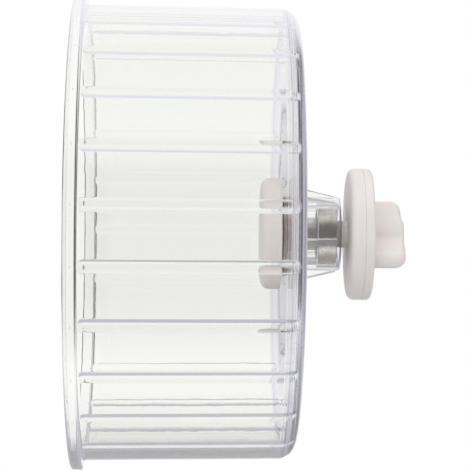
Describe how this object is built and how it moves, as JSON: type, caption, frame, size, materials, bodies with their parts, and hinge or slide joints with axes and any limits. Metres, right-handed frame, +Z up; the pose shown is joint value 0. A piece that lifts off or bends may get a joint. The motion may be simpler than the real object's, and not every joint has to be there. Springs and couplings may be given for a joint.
{
  "type": "rodent exercise wheel",
  "caption": "Clear ribbed drum with an open lipped mouth that spins on a ball-bearing hub and clamps to a cage wall with two white discs and a wing knob.",
  "frame": {"origin": "on the spin axis, at the seam between the two clamp discs, where the cage wall goes", "axes": "+Y along the spin axis from the open mouth towards the knob, +Z up, +X towards the picture's camera"},
  "size_m": [0.1746, 0.1216, 0.1746],
  "materials": {
    "clear_plastic": "clear, polished moulding",
    "white_plastic": "warm white, satin moulding",
    "bearing_steel": "ground and polished steel",
    "zinc_steel": "zinc-plated steel",
    "insert_brass": "turned brass"
  },
  "bodies": {
    "axle": {"axle_bolt": "zinc_steel", "hub_cap": "white_plastic", "hub_cap_cover": "white_plastic", "bearing_spacer": "zinc_steel", "clamp_disc": "white_plastic", "lock_nut": "zinc_steel", "front_bearing_inner_ring": "bearing_steel", "rear_bearing_inner_ring": "bearing_steel"},
    "wheel": {"drum": "clear_plastic", "front_bearing_outer_ring": "bearing_steel", "rear_bearing_outer_ring": "bearing_steel", "front_bearing_shields": "bearing_steel", "rear_bearing_shields": "bearing_steel"},
    "front_ball_set": {"front_bearing_balls": "bearing_steel", "front_bearing_cage": "bearing_steel"},
    "rear_ball_set": {"rear_bearing_balls": "bearing_steel", "rear_bearing_cage": "bearing_steel"},
    "clamp_plate": {"outer_clamp_plate": "white_plastic"},
    "knob": {"wing_knob": "white_plastic", "knob_insert": "insert_brass"}
  },
  "joints": [
    {"name": "wheel_spin", "type": "hinge", "parent": "axle", "child": "wheel", "pos_m": [0, 0, 0], "axis": [0, 1, 0], "continuous": true},
    {"name": "front_ball_orbit", "type": "hinge", "parent": "axle", "child": "front_ball_set", "pos_m": [0, 0, 0], "axis": [0, 1, 0], "continuous": true},
    {"name": "rear_ball_orbit", "type": "hinge", "parent": "axle", "child": "rear_ball_set", "pos_m": [0, 0, 0], "axis": [0, 1, 0], "continuous": true},
    {"name": "plate_travel", "type": "slide", "parent": "axle", "child": "clamp_plate", "axis": [0, 1, 0], "range_m": [0, 0.006]},
    {"name": "knob_turn", "type": "hinge", "parent": "clamp_plate", "child": "knob", "pos_m": [0, 0, 0], "axis": [0, 1, 0], "range_deg": [0, 1728]}
  ],
  "couplings": [
    {"joint": "front_ball_orbit", "follows": "wheel_spin", "ratio": 0.63233},
    {"joint": "rear_ball_orbit", "follows": "wheel_spin", "ratio": 0.63233},
    {"joint": "plate_travel", "follows": "knob_turn", "m_per_rad": 0.00019894}
  ]
}
